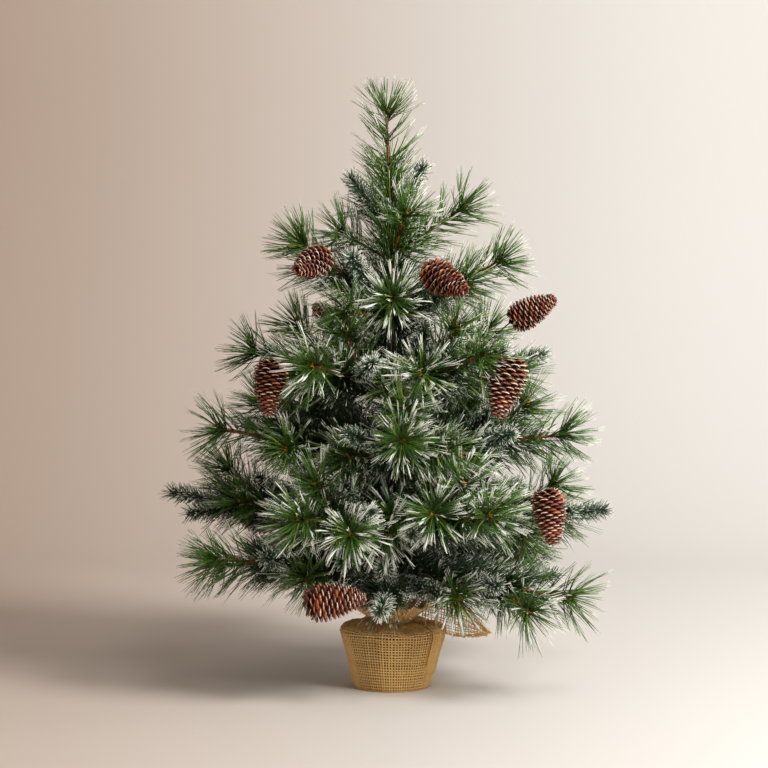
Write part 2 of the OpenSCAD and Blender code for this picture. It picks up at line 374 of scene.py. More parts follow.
def new_material(name, **shader):
    """An empty material with its Principled shader's own sockets set."""
    material = bpy.data.materials.new(name)
    material.use_nodes = True
    principled = material.node_tree.nodes["Principled BSDF"]
    for key, value in shader.items():
        principled.inputs[key.replace("_", " ")].default_value = value
    return material, material.node_tree, principled


def bump(tree, principled, height, distance, strength=1.0):
    node = add(tree, "Bump", Strength=strength, Distance=distance)
    wire(tree, (height, node.inputs["Height"]), (node.outputs["Normal"], principled.inputs["Normal"]))


def rgb(r, g, b):
    """A colour given in the usual 0 to 255 steps, as the linear values that shaders use."""
    def linear(c):
        c /= 255
        return c / 12.92 if c <= 0.04045 else ((c + 0.055) / 1.055) ** 2.4
    return (linear(r), linear(g), linear(b), 1.0)


def varied_material(name, dark, light, odd, grain, odd_share=0.1, cloud=120.0, **shader):
    """A finish whose colour varies by piece and cloud. grain is its scale, depth and strength."""
    material, tree, principled = new_material(name, **shader)
    colour = place_group(tree, "colour", Dark=dark, Light=light, Odd=odd, Odd_Share=odd_share,
                         Cloud_Scale=cloud)
    scale, depth, strength = grain
    height = place_group(tree, "grain", Scale=scale)
    wire(tree, (colour.outputs["Color"], principled.inputs["Base Color"]))
    bump(tree, principled, height.outputs["Height"], depth, strength)
    return material


def dress_node(piece, body, node):
    """Lets a finished piece ride on its body in the place of its CAD node."""
    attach(piece, body)
    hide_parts(node)


SNOW = rgb(232, 234, 220)

# %% [markdown]
# ## Needle, snow and bark finishes
# The needles are cut from soft green film: dull, with a little gloss on the crease. Long ones are grass
# green and short ones blue green. The snow is sprayed flock, white, matte and lumpy. The stems are wound
# with brown film, cut short, so they look like rough bark, and end in a bright orange bud.


# %% Needle finish
def needle_material(name, dark, light, odd, odd_share, raggedness):
    material, tree, shader = new_material(name, Roughness=0.5)
    colour = place_group(tree, "colour", Dark=dark, Light=light, Odd=odd, Odd_Share=odd_share)
    snow = place_group(tree, "snow", Raggedness=raggedness)
    mix = add(tree, "Mix", data_type="RGBA")
    mix.inputs["B"].default_value = SNOW
    rough = add(tree, "MapRange")
    rough.inputs["To Min"].default_value = 0.42
    rough.inputs["To Max"].default_value = 0.9
    grain = place_group(tree, "grain", Scale=1400.0)
    wire(tree, (colour.outputs["Color"], mix.inputs["A"]), (snow.outputs["Mask"], mix.inputs["Factor"]),
         (mix.outputs["Result"], shader.inputs["Base Color"]), (snow.outputs["Mask"], rough.inputs["Value"]),
         (rough.outputs["Result"], shader.inputs["Roughness"]))
    bump(tree, shader, grain.outputs["Height"], 0.0004, 0.5)
    return material


grass_needle = needle_material("grass_needle", rgb(26, 52, 14), rgb(92, 136, 44), rgb(146, 160, 70),
                               odd_share=0.06, raggedness=0.5)
blue_needle = needle_material("blue_needle", rgb(28, 52, 32), rgb(78, 112, 80), rgb(140, 160, 130),
                              odd_share=0.06, raggedness=0.7)
# A darker copy of the grass needle for the needles inside the tree: painted shade.
painted_shade_needle = needle_material("painted_shade_needle", rgb(14, 30, 10), rgb(50, 80, 28), rgb(84, 100, 38),
                              odd_share=0.04, raggedness=0.4)


# %% Snow, bark and bud finishes
flock_snow = varied_material("flock_snow", rgb(218, 222, 208), rgb(252, 252, 242), rgb(198, 210, 176),
                             (1100.0, 0.0012, 0.8), cloud=160.0, Roughness=0.92, Subsurface_Weight=0.15)


def bark_material(name, dark, light, odd):
    return varied_material(name, dark, light, odd, (1300.0, 0.0008, 0.7), odd_share=0.08, Roughness=0.68)


bark = bark_material("bark", rgb(78, 44, 20), rgb(168, 96, 40), rgb(196, 130, 58))
dark_bark = bark_material("dark_bark", rgb(52, 32, 24), rgb(104, 66, 44), rgb(140, 96, 60))
bud = bark_material("bud", rgb(196, 104, 20), rgb(240, 156, 52), rgb(248, 190, 90))
print("needle, snow and bark finishes made")

# %% [markdown]
# ## Long-needled tips
# A long tip is a brush: needles sit all along the last stretch of wire and lean forwards, and four in ten
# of them fan out round its end. The snow glues them into clumps, so the needles are drawn three to a clump,
# their far ends close together, and a thicker sleeve of snow lies over the outer part of some clumps.

# %% Long tip
BUD_BACK = 26 * MM
TIP_REACH = 9 * MM
LONG_CLUMPS = 66
PER_CLUMP = 3
CROWN_SHARE = 0.4
CROWN_DEPTH = 7 * MM
LONG_REACH = (38, 49)
LONG_WIDTHS = (0.95, 0.9, 0.4)
SLEEVE_WIDTHS = (0.4, 1.3, 1.75, 0.6)
GOLDEN = math.radians(137.5)
NEEDLE_SLOTS = {"grass": 0, "blue": 1, "shade_fill": 2, "snow": 3}
NEEDLE_MATERIALS = [grass_needle, blue_needle, painted_shade_needle, flock_snow]


def long_clumps(rng, axis, start, length):
    """Where the clumps of a long tip start, bend and end."""
    wire_end = length - BUD_BACK
    crown = rng.random(LONG_CLUMPS) < CROWN_SHARE
    place = np.where(crown, wire_end - CROWN_DEPTH * rng.random(LONG_CLUMPS),
                     wire_end * rng.random(LONG_CLUMPS) ** 0.9)
    lean = np.radians(np.where(crown, rng.uniform(14, 74, LONG_CLUMPS), rng.uniform(32, 58, LONG_CLUMPS)))
    turn = GOLDEN * np.arange(LONG_CLUMPS) + rng.uniform(-0.4, 0.4, LONG_CLUMPS)
    reach = rng.uniform(*LONG_REACH, LONG_CLUMPS) * MM
    reach = np.minimum(reach, (length + TIP_REACH - place) / np.cos(lean))
    out = leaning(axis, lean, turn)
    base = start + place[:, None] * axis
    tip = base + reach[:, None] * out
    tip[:, 2] -= rng.uniform(0, 3, LONG_CLUMPS) * MM
    middle = base + 0.5 * reach[:, None] * leaning(axis, np.minimum(lean * 1.18, 1.4), turn)
    return base, middle, tip


def long_tip(bundle, rng, start, end, snow):
    length = np.linalg.norm(end - start)
    axis = (end - start) / length
    base, middle, tip = long_clumps(rng, axis, start, length)
    frost = np.clip(rng.normal(0.36 * snow, 0.12, LONG_CLUMPS), 0.0, 0.7)
    for member in range(PER_CLUMP):
        drift = rng.normal(0, 1, (LONG_CLUMPS, 3)) * MM
        path = arc(base + 1.2 * drift, middle + 1.4 * rng.normal(0, 1, base.shape) * MM,
                   tip + 1.5 * drift[::-1], (0, 0.5, 1))
        width = np.array(LONG_WIDTHS) * rng.uniform(0.85, 1.1, (LONG_CLUMPS, 1)) * MM
        bundle.sweep(path, width, rng.normal(0, 1, base.shape), NEEDLE_SLOTS["grass"],
                     frost + rng.uniform(-0.08, 0.08, LONG_CLUMPS))
    laden = rng.random(LONG_CLUMPS) < 1.2 * snow - 0.42
    if laden.any():
        count = laden.sum()
        sleeve = arc(base[laden], middle[laden], tip[laden], (0.0, 0.5, 0.66, 0.84, 1.0))[:, 1:]
        first = rng.uniform(0, 0.7, (count, 1))
        sleeve[:, 0] = sleeve[:, 0] * (1 - first) + sleeve[:, 1] * first
        width = np.array(SLEEVE_WIDTHS) * rng.uniform(0.65, 1.15, (count, 1)) * (0.7 + 0.5 * snow) * MM
        bundle.sweep(sleeve, width, rng.normal(0, 1, (count, 3)), NEEDLE_SLOTS["snow"], sides=5, thick=0.75)


# %% [markdown]
# ## Short-needled tips
# A short tip is a bottle brush of blue-green needles about a centimetre long, all the way along, with its
# end as a small frosted tuft. Frost only reaches the ends of the needles, so its green shows through.

# %% Short tip
SHORT_NEEDLES = 340
SHORT_REACH = (10.0, 14.5)
SHORT_END = 7 * MM
TUFT = 10 * MM


def short_tip(bundle, rng, start, end, snow):
    length = np.linalg.norm(end - start)
    axis = (end - start) / length
    last = length - SHORT_END
    place = last * (np.arange(SHORT_NEEDLES) + rng.random(SHORT_NEEDLES)) / SHORT_NEEDLES
    near_end = np.clip(1 - (last - place) / TUFT, 0, 1)
    lean = np.radians(rng.uniform(46, 72, SHORT_NEEDLES) - 38 * near_end * rng.random(SHORT_NEEDLES))
    turn = GOLDEN * np.arange(SHORT_NEEDLES) + rng.uniform(-0.3, 0.3, SHORT_NEEDLES)
    reach = rng.uniform(*SHORT_REACH, SHORT_NEEDLES) * MM
    out = leaning(axis, lean, turn)
    base = start + place[:, None] * axis
    tip = base + reach[:, None] * out + rng.normal(0, 0.8, base.shape) * MM
    middle = base + 0.5 * reach[:, None] * leaning(axis, lean * 1.15, turn)
    frost = np.clip(rng.normal(0.30 * snow + 0.20 * near_end, 0.15), 0, 0.8)
    width = np.array((0.95, 0.9, 0.55)) * rng.uniform(0.8, 1.15, (SHORT_NEEDLES, 1)) * MM
    bundle.sweep(arc(base, middle, tip, (0, 0.55, 1)), width, rng.normal(0, 1, base.shape),
                 NEEDLE_SLOTS["blue"], frost)
    laden = rng.random(SHORT_NEEDLES) < 0.26 * snow * (0.35 + near_end)
    if laden.any():
        count = laden.sum()
        path = arc(base[laden], middle[laden], tip[laden], (0.5, 0.78, 1.04))
        width = np.array((0.6, 1.25, 0.7)) * rng.uniform(0.7, 1.2, (count, 1)) * MM
        bundle.sweep(path, width, rng.normal(0, 1, (count, 3)), NEEDLE_SLOTS["snow"], sides=4, thick=0.8)


# %% [markdown]
# ## Needles along the stems
# Between its tips a branch is clothed too, with unfrosted needles that lie in shade. They hide the wire
# and the trunk behind it. Most of them take a darker copy of the needle green, painted shade, which gives the tree
# its dark green heart.

# %% Stem needles
def stem_needles(bundle, rng, start, end, per_mm, reach_mm, slot, frost=0.0, leans=(32, 62)):
    length = np.linalg.norm(end - start)
    if length < 4 * MM:
        return
    axis = (end - start) / length
    count = int(per_mm * length / MM)
    place = length * rng.random(count)
    lean = np.radians(rng.uniform(*leans, count))
    turn = rng.uniform(0, 2 * math.pi, count)
    reach = rng.uniform(*reach_mm, count) * MM
    base = start + place[:, None] * axis
    tip = base + reach[:, None] * leaning(axis, lean, turn) + rng.normal(0, 1.5, base.shape) * MM
    middle = base + 0.5 * reach[:, None] * leaning(axis, lean * 1.15, turn)
    width = np.array((1.1, 1.0, 0.5)) * rng.uniform(0.85, 1.15, (count, 1)) * MM
    bundle.sweep(arc(base, middle, tip, (0, 0.5, 1)), width, rng.normal(0, 1, base.shape), slot,
                 np.maximum(rng.normal(frost, 0.1, count), 0))


# %% Wire with its bark
def bark_wire(bundle, rng, start, end, radius, fuzz_per_mm, slot, ring_step=2.2 * MM):
    """A wire wound with cut film: a twisted bar, and short bristles round it."""
    length = np.linalg.norm(end - start)
    axis = (end - start) / length
    rings = max(3, int(length / ring_step))
    path = start + np.linspace(0, length, rings)[:, None] * axis
    width = 2 * radius * rng.uniform(0.9, 1.12, (1, rings))
    bundle.sweep(path[None], width, rng.normal(0, 1, (1, 3)), slot, sides=4, thick=0.72, twist=0.5)
    count = int(fuzz_per_mm * length / MM)
    if count:
        base = start + (length * rng.random(count))[:, None] * axis
        out = leaning(axis, np.radians(rng.uniform(35, 80, count)), rng.uniform(0, 2 * math.pi, count))
        reach = rng.uniform(1.8, 3.4, count) * MM
        path = np.stack((base, base + reach[:, None] * out), 1)
        width = np.array((0.95, 0.5)) * rng.uniform(0.7, 1.2, (count, 1)) * MM
        bundle.sweep(path, width, rng.normal(0, 1, base.shape), slot)


def bud_tuft(bundle, rng, at, axis, slot, count=12):
    out = leaning(axis, np.radians(rng.uniform(4, 52, count)), rng.uniform(0, 2 * math.pi, count))
    base = at + rng.normal(0, 0.5, (count, 3)) * MM - 1.5 * MM * axis
    reach = rng.uniform(3.2, 5.6, count) * MM
    path = np.stack((base, base + 0.6 * reach[:, None] * out, base + reach[:, None] * out), 1)
    width = np.array((1.5, 1.4, 0.7)) * np.ones((count, 1)) * MM
    bundle.sweep(path, width, rng.normal(0, 1, (count, 3)), slot, sides=4, thick=0.7)


# %% [markdown]
# ## Dressing every branch
# Each branch becomes two pieces, its needles and its wires, that ride on the branch's own body and stand
# for the CAD node. Tips that face the front carry more snow, as flock is sprayed from there.

# %% Branches
WIRE_MATERIALS = [bark, dark_bark, bud]
WIRE_SLOTS = {"bark": 0, "dark": 1, "bud": 2}
LONG_STEM_NEEDLES = (32, 46)
SHORT_STEM_NEEDLES = (10, 14)
STEM_DENSITY = 4.6
LEADER_DENSITY = 5.0


def snow_share(rng, axis):
    facing = 1.1 * max(-axis[1] - 0.55, 0)
    return float(np.clip(rng.uniform(0.02, 0.42) + facing, 0.02, 1.0))


def dress(name, branch, seed):
    rng = np.random.default_rng(seed)
    needles, wires = Bundle(), Bundle()
    root = branch["root"]
    for index, (start, end) in enumerate(branch["wires"]):
        core = min(branch["cores"], key=lambda c: np.linalg.norm(np.cross(end - start, c[1] - start)))
        axis = (core[1] - core[0]) / np.linalg.norm(core[1] - core[0])
        long_kind = np.linalg.norm(core[1] - core[0]) > LONG_CORE
        if long_kind:
            far = core[1] - BUD_BACK * axis
            bark_wire(wires, rng, start, core[0], 1.5 * MM, 0.5, WIRE_SLOTS["bark"])
            bark_wire(wires, rng, core[0], far, 1.7 * MM, 2.2, WIRE_SLOTS["bark"])
            bud_tuft(wires, rng, far, axis, WIRE_SLOTS["bud"])
            # Stem needles inside the tree take the darker needle green, painted shade; the leader's stay grass
            # green.
            filler, density = ("grass", LEADER_DENSITY) if name == "leader" else ("shade_fill", STEM_DENSITY)
            stem_needles(needles, rng, start, core[0], density, LONG_STEM_NEEDLES,
                         NEEDLE_SLOTS[filler], 0.06)
            long_tip(needles, rng, core[0], core[1], snow_share(rng, axis))
        else:
            far = core[1] - 8 * MM * axis
            bark_wire(wires, rng, start, far, 1.2 * MM, 0.3, WIRE_SLOTS["dark"])
            # The first short wire's stem needles take the darker needle green, painted shade.
            filler, reach = ("shade_fill", LONG_STEM_NEEDLES) if index == 0 else ("blue", SHORT_STEM_NEEDLES)
            stem_needles(needles, rng, start, core[0], STEM_DENSITY, reach,
                         NEEDLE_SLOTS[filler], 0.05)
            short_tip(needles, rng, core[0], core[1], snow_share(rng, axis))
    leaf = needles.build(name + "_needles", NEEDLE_MATERIALS)
    stem = wires.build(name + "_wires", WIRE_MATERIALS)
    for piece in (leaf, stem):
        dress_node(piece, branch["body"], name)
    return len(leaf.data.polygons) + len(stem.data.polygons)


total = sum(dress(name, branch, 100 + k) for k, (name, branch) in enumerate(branches.items()))
print("branches dressed with", total, "triangles")

# %% [markdown]
# ## The trunk's garland
# The pole is wound with a garland of the same film, so no bare pole shows between the whorls.

# %% Trunk garland
garland_low, garland_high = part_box("trunk_garland")
garland = Bundle()
garland_rng = np.random.default_rng(7)
foot = np.array((0, 0, garland_low.z + 4 * MM))
head = np.array((0, 0, garland_high.z))
# The garland's needles take the darker needle green, painted shade.
stem_needles(garland, garland_rng, foot, head, 10.0, (22, 52), NEEDLE_SLOTS["shade_fill"], leans=(40, 84))
trunk_needles = garland.build("trunk_garland_needles", NEEDLE_MATERIALS)
dress_node(trunk_needles, "trunk", "trunk_garland")
print("garland", len(trunk_needles.data.polygons), "triangles")

# %% [markdown]
# ## Pinecones
# A closed cone is a spiral of woody scales, each turned from the last by the golden angle. Each scale is
# a small curved wedge with a thick lip, and the lips carry a dab of white paint. The cone's axis comes
# from the CAD solid: its tip is a point where many edges meet, and its weight lies on the axis.

# %% Cone finish
def cone_material():
    material, tree, shader = new_material("cone_scale", Roughness=0.55)
    colour = place_group(tree, "colour", Dark=rgb(66, 26, 12), Light=rgb(140, 66, 34), Odd=rgb(176, 98, 54),
                         Odd_Share=0.12, Cloud_Scale=140.0)
    # The scales fade to near black at their roots, by their along mark, and a little on their undersides: painted
    # shade in the gaps between scales.
    shade = add(tree, "Attribute", attribute_name="along")
    dark = add(tree, "Mix", data_type="RGBA")
    dark.inputs["A"].default_value = rgb(20, 8, 5)
    snow = place_group(tree, "snow", Grain_Scale=420.0, Raggedness=0.55)
    mix = add(tree, "Mix", data_type="RGBA")
    mix.inputs["B"].default_value = rgb(244, 228, 210)
    grain = place_group(tree, "grain", Scale=800.0)
    wire(tree, (shade.outputs["Fac"], dark.inputs["Factor"]), (colour.outputs["Color"], dark.inputs["B"]),
         (dark.outputs["Result"], mix.inputs["A"]), (snow.outputs["Mask"], mix.inputs["Factor"]),
         (mix.outputs["Result"], shader.inputs["Base Color"]))
    bump(tree, shader, grain.outputs["Height"], 0.0008, 0.7)
    return material


cone_scale = cone_material()

# %% Cone geometry
SCALES = 150
CONE_SHARES = (0.0, 0.05, 0.2, 0.36, 0.6, 0.8, 0.94, 1.0)
CONE_RADII = (0.30, 0.72, 0.98, 1.0, 0.82, 0.55, 0.28, 0.0)
CONE_SLENDER = 15 / 56
TIP_GUESSES = 12


def cone_axis(node):
    """Base, tip and greatest radius of a CAD cone, and the far end of its wire pick."""
    points = np.concatenate(loose_parts(node))
    mesh = nodes[node].data
    raw = np.array([v.co for v in mesh.vertices])
    mesh.calc_loop_triangles()
    triangles = raw[np.array([t.vertices for t in mesh.loop_triangles])]
    volume = np.einsum("ij,ij->i", triangles[:, 0], np.cross(triangles[:, 1], triangles[:, 2])) / 6
    weight = (triangles.sum(1) / 4 * volume[:, None]).sum(0) / volume.sum()
    corners = np.round(triangles.reshape(-1, 3) / (0.02 * MM)).astype(int)
    _, first, meets = np.unique(corners, axis=0, return_index=True, return_counts=True)
    shares = np.linspace(0, 1, 400)
    radii = np.interp(shares, CONE_SHARES, CONE_RADII) ** 2
    weight_share = (radii * shares).sum() / radii.sum()
    found = []
    for tip in triangles.reshape(-1, 3)[first[np.argsort(-meets)[:TIP_GUESSES]]]:
        length = np.linalg.norm(tip - weight) / (1 - weight_share)
        axis = unit(tip - weight)
        run = (points - tip) @ axis / length + 1
        across = np.linalg.norm(points - tip - (run - 1)[:, None] * length * axis, axis=1)
        ring = (run > 0.3) & (run < 0.42) & (abs(across / length - CONE_SLENDER) < 0.01)
        found.append((ring.sum(), tip - length * axis, tip, np.max(across[ring], initial=0)))
    _, base, tip, radius = max(found, key=lambda guess: guess[0])
    return base, tip, radius, points[np.linalg.norm(points - (base + tip) / 2, axis=1).argmax()]


def scale_shape(width, depth, thick, rows=5, columns=7):
    """One scale, closed, with its root at the origin, X across, Y outwards and Z up its thickness."""
    across = np.linspace(-1, 1, columns)
    out = np.linspace(0, 1, rows)
    u, v = np.meshgrid(across, out)
    opening = 0.42 + 0.58 * np.sin(np.minimum(v, 0.8) / 0.8 * math.pi / 2)
    half = 0.5 * width * opening * np.sqrt(1 - 0.5 * v ** 6)
    x = u * half
    y = depth * (v - 0.16 * v ** 2 * u ** 2)
    body = thick * (0.25 + 0.75 * v ** 1.5) * np.sqrt(np.clip(1.04 - u ** 2, 0, 1))
    lift = 0.16 * width * (1 - u ** 2) + 0.10 * depth * v ** 2
    top = np.stack((x, y, lift + 0.5 * body), -1).reshape(-1, 3)
    low = np.stack((x, y, lift - 0.5 * body), -1).reshape(-1, 3)
    points = np.concatenate((top, low))
    faces = []
    size = rows * columns
    for r in range(rows - 1):
        for c in range(columns - 1):
            a, b = r * columns + c, r * columns + c + 1
            d, e = a + columns, b + columns
            faces += [(a, b, e), (a, e, d), (size + a, size + e, size + b), (size + a, size + d, size + e)]
    rim = ([c for c in range(columns)] + [r * columns + columns - 1 for r in range(1, rows)]
           + [(rows - 1) * columns + c for c in range(columns - 2, -1, -1)]
           + [r * columns for r in range(rows - 2, 0, -1)])
    for k, a in enumerate(rim):
        b = rim[(k + 1) % len(rim)]
        faces += [(a, size + a, size + b), (a, size + b, b)]
    # The underside's along mark is cut to nine tenths, so it paints a little darker, painted shade, and takes no
    # white paint.
    along = np.concatenate((v.ravel(), 0.9 * v.ravel()))
    return points, np.array(faces), along


def make_cone(node, body, seed):
    rng = np.random.default_rng(seed)
    base, tip, radius, pick_end = cone_axis(node)
    length = np.linalg.norm(tip - base)
    axis = (tip - base) / length
    side, up = beside(axis)
    cone = Bundle()
    shares = np.linspace(0, 1, 9)
    rod = base + (0.04 + 0.82 * shares)[:, None] * length * axis
    cone.sweep(rod[None], 1.25 * radius * np.interp(shares, CONE_SHARES, CONE_RADII)[None] + 1 * MM,
               side[None], 0, sides=10, thick=1.0)
    for k in range(SCALES):
        share = 0.02 + 0.95 * ((k + 0.5) / SCALES) ** 0.92
        r = radius * max(np.interp(share, CONE_SHARES, CONE_RADII), 0.16)
        turn = GOLDEN * k
        out = np.cos(turn) * side + np.sin(turn) * up
        across = np.cross(axis, out)
        opening = np.interp(share, (0, 0.2, 0.75, 1), (-16, 26, 50, 74))
        open_angle = math.radians(opening + rng.uniform(-4, 4))
        forward = np.cos(open_angle) * out + np.sin(open_angle) * axis
        top = np.cross(across, forward)
        width = (5.2 + 5.0 * r / radius) * radius / (15 * MM) * MM * rng.uniform(0.94, 1.06)
        depth = (0.62 * r + 3.4 * MM)
        points, faces, along = scale_shape(width, depth, 1.35 * MM)
        root = base + share * length * axis + out * r - forward * depth * 0.93
        placed = root + points[:, :1] * across + points[:, 1:2] * forward + points[:, 2:] * top
        cone.add(placed, faces, 0, along, np.where(along > 0.95, rng.uniform(-0.06, 0.22), -0.2))
    pick = np.stack((pick_end, base, base + 6 * MM * axis))
    cone.sweep(pick[None], np.full((1, 3), 1.4 * MM), up[None], 1, sides=8, thick=1.0)
    piece = cone.build(node + "_scales", [cone_scale, dark_bark])
    dress_node(piece, body, node)
    return len(piece.data.polygons)


body_of = {node: body for body, members in record["behaviour"]["bodies"].items() for node in members}
cone_nodes = sorted(node for node in nodes if node.startswith("pinecone"))
cone_faces = [make_cone(node, body_of[node], 300 + k) for k, node in enumerate(cone_nodes)]
print(len(cone_nodes), "cones with", sum(cone_faces), "triangles")

# %% [markdown]
# ## The string of lights
# Each run of lead is a pair of thin green wires twisted together, with a socket and a small frosted bulb
# at each stop. The bulbs are turned profiles: a fluted socket, and a globe with a little tip.

# %% Light finishes
def plastic_material(name, dark, light, roughness):
    return varied_material(name, dark, light, light, (600.0, 0.0002, 0.4), cloud=90.0, Roughness=roughness)


lead_green = plastic_material("lead_green", rgb(56, 104, 48), rgb(96, 150, 78), 0.38)
frosted_bulb = varied_material("frosted_bulb", rgb(222, 226, 224), rgb(250, 250, 246), rgb(240, 240, 236),
                               (1500.0, 0.0003, 0.4), cloud=200.0, Roughness=0.34,
                               Transmission_Weight=0.15, Emission_Strength=0.05,
                               Emission_Color=rgb(255, 250, 240))


# %% Leads, sockets and bulbs
def lathe(bundle, base, axis, profile, slot, sides=16):
    """A turned solid: profile is a list of (distance along axis, radius) in millimetres."""
    profile = np.array(profile) * MM
    path = base + profile[:, :1] * axis
    side, _ = beside(axis)
    bundle.sweep(path[None], 2 * profile[None, :, 1], side[None], slot, sides=sides, thick=1.0)


def run_of(points, root):
    """The middle line of a thin tube, from its rings of points, in order from the root."""
    far = points[np.linalg.norm(points - root, axis=1).argmax()]
    axis = unit(far - root)
    order = np.argsort((points - root) @ axis)
    rings = np.array_split(points[order], len(points) // 8)
    return np.array([ring.mean(0) for ring in rings])


def smooth_run(points, count):
    """A smooth curve through the given points, by cubic pieces."""
    t = np.linspace(0, len(points) - 1, count)
    k = np.clip(t.astype(int), 0, len(points) - 2)
    f = (t - k)[:, None]
    slope = np.gradient(points, axis=0)
    a, b, m, n = points[k], points[k + 1], slope[k], slope[k + 1]
    return ((2 * f ** 3 - 3 * f ** 2 + 1) * a + (f ** 3 - 2 * f ** 2 + f) * m
            + (3 * f ** 2 - 2 * f ** 3) * b + (f ** 3 - f ** 2) * n)


def make_lights(node, body, seed):
    rng = np.random.default_rng(seed)
    root = branches[body.removesuffix("_body")]["root"]
    lights = Bundle()
    parts = sorted(loose_parts(node), key=lambda p: -np.ptp(p, axis=0).max())
    centre = run_of(parts[0], root)
    loops = np.arange(len(centre))
    droop = 4.5 * MM * np.sin(loops * 2.1 + rng.uniform(0, 6))
    centre[1:-1, 2] -= np.abs(droop[1:-1]) + 1.5 * MM
    line = smooth_run(centre, 90)
    side, up = beside(unit(line[-1] - line[0]))
    for phase in (0, math.pi):
        turn = np.linspace(0, 26, len(line)) + phase
        pair = line + 0.55 * MM * (np.cos(turn)[:, None] * side + np.sin(turn)[:, None] * up)
        lights.sweep(pair[None], np.full((1, len(line)), 1.1 * MM), side[None], 0, sides=6, thick=1.0)
    globes = [p for p in parts[1:] if np.ptp(p, axis=0).max() < 6.6 * MM]
    sockets = [p for p in parts[1:] if np.ptp(p, axis=0).max() >= 6.6 * MM]
    for globe in globes:
        middle = (globe.max(0) + globe.min(0)) / 2
        radius = np.ptp(globe, axis=0).max() / 2 / MM
        foot = min((p.mean(0) for p in sockets), key=lambda m: np.linalg.norm(m - middle))
        axis = unit(middle - foot)
        angles = np.linspace(-1.25, 1.5, 12)
        ball = [(radius * math.sin(a), radius * math.cos(a)) for a in angles]
        lathe(lights, middle, axis, ball + [(radius * 1.06, 0.25)], 1)
        low = -radius - 7.6
        fluted = [(low, 1.2), (low + 0.6, 1.55), (low + 2.4, 1.6), (low + 2.6, 1.9), (low + 3.2, 1.9),
                  (low + 3.4, 1.6), (low + 6.4, 1.75), (low + 8.6, 2.0), (low + 8.9, 1.3)]
        lathe(lights, middle, axis, fluted, 0)
        nearest = line[np.linalg.norm(line - (middle + low * MM * axis), axis=1).argmin()]
        tail = np.stack((nearest, middle + (low + 1) * MM * axis))
        lights.sweep(tail[None], np.full((1, 2), 1.3 * MM), side[None], 0, sides=6, thick=1.0)
    piece = lights.build(node + "_string", [lead_green, frosted_bulb])
    dress_node(piece, body, node)
    return len(globes)


light_nodes = sorted(node for node in nodes if node.startswith("light_run"))
bulbs = [make_lights(node, body_of[node], 400 + k) for k, node in enumerate(light_nodes)]
print(len(light_nodes), "light runs with", sum(bulbs), "bulbs")

# %% [markdown]
# ## Burlap
# Burlap is a loose weave of thick, hairy jute, and its dark holes are what the eye sees first, so a flat
# sheet with a weave in its shader would not do. Here every thread is a real strand that goes over and
# under its neighbours. The cloth is one square, gathered round the pot and drawn in to the trunk.

# %% Burlap finish
def jute_material(name, dark, light, odd):
    return varied_material(name, dark, light, odd, (1700.0, 0.0009, 0.8), odd_share=0.02, cloud=110.0,
                           Roughness=0.9, Sheen_Weight=0.25)


burlap_jute = jute_material("burlap_jute", rgb(222, 172, 96), rgb(248, 206, 132), rgb(250, 218, 154))
twine_jute = jute_material("twine_jute", rgb(156, 118, 70), rgb(214, 178, 124), rgb(226, 196, 146))

# %% A woven surface
THREAD = 1.52 * MM
THREAD_THICK = 1.0
WAVE = 0.36 * MM


def surface_normals(grid):
    return unit(np.cross(np.gradient(grid, axis=0), np.gradient(grid, axis=1)))


def weave(bundle, rng, grid, thread=THREAD, wander=0.16 * MM):
    """Threads along both ways of a grid of points (across, along, 3), each over and under the other."""
    normals = surface_normals(grid)
    across, along, _ = grid.shape
    over = WAVE * (1 - 2 * ((np.arange(across)[:, None] + np.arange(along)[None, :]) % 2))
    sideways = unit(np.gradient(grid, axis=0))
    lengthways = unit(np.gradient(grid, axis=1))
    slip = wander * rng.normal(0, 1, (across, 1)) + 0.4 * wander * rng.normal(0, 1, (across, along))
    warp = grid + over[..., None] * normals + slip[..., None] * sideways
    slip = wander * rng.normal(0, 1, (1, along)) + 0.4 * wander * rng.normal(0, 1, (across, along))
    weft = grid - over[..., None] * normals + slip[..., None] * lengthways
    for threads, facing in ((warp, normals), (weft.transpose(1, 0, 2), normals.transpose(1, 0, 2))):
        count, rings, _ = threads.shape
        slub = rng.uniform(0.86, 1.12, (count, 1)) * rng.uniform(0.9, 1.1, (count, rings))
        flat_strands(bundle, threads, thread * slub, facing)


def flat_strands(bundle, path, width, normals, sides=4):
    """Threads pressed flat against the cloth they lie in."""
    count, rings, _ = path.shape
    run = unit(np.gradient(path, axis=1))
    side = unit(np.cross(run, normals))
    up = np.cross(side, run)
    turn = 2 * math.pi * np.arange(sides) / sides
    section = (np.cos(turn)[:, None] * side[:, :, None, :]
               + THREAD_THICK * np.sin(turn)[:, None] * up[:, :, None, :])
    points = path[:, :, None, :] + 0.5 * width[:, :, None, None] * section
    offset = (np.arange(count) * rings * sides)[:, None, None]
    faces = strand_triangles(rings, sides)[None] + offset
    bundle.add(points.reshape(-1, 3), faces.reshape(-1, 3), 0)


# %% [markdown]
# The wrap's outline runs up the pot's wall, rolls over its rim, dips to the tie and flares into a collar.
# It comes from the boxes of the pot, the tie and the wrap. Gathers grow from almost nothing at the foot to
# folds at the neck and the collar, and the threads slide and skew a little on their way up.

# %% The wrap
pot_low, pot_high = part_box("pot")
tie_low, tie_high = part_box("jute_tie")
wrap_low, wrap_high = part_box("burlap_wrap")
POT_TAPER = 75 / 98
rim_r = pot_high.x
rim_z = pot_high.z
foot_r = rim_r * POT_TAPER
neck_r = tie_high.x - 2.6 * MM
neck_z = (tie_low.z + tie_high.z) / 2
OFF_POT = 1.9 * MM
WARPS = 108
PITCH = 2.9 * MM
GATHER_SHARES = (0, 0.3, 0.47, 0.62, 0.8, 0.86, 1.0)
GATHER_DEPTHS = (0.1, 0.4, 1.2, 2.3, 2.0, 0.9, 3.2)
SLIDE = 1.4 * MM
SKEW = 0.05

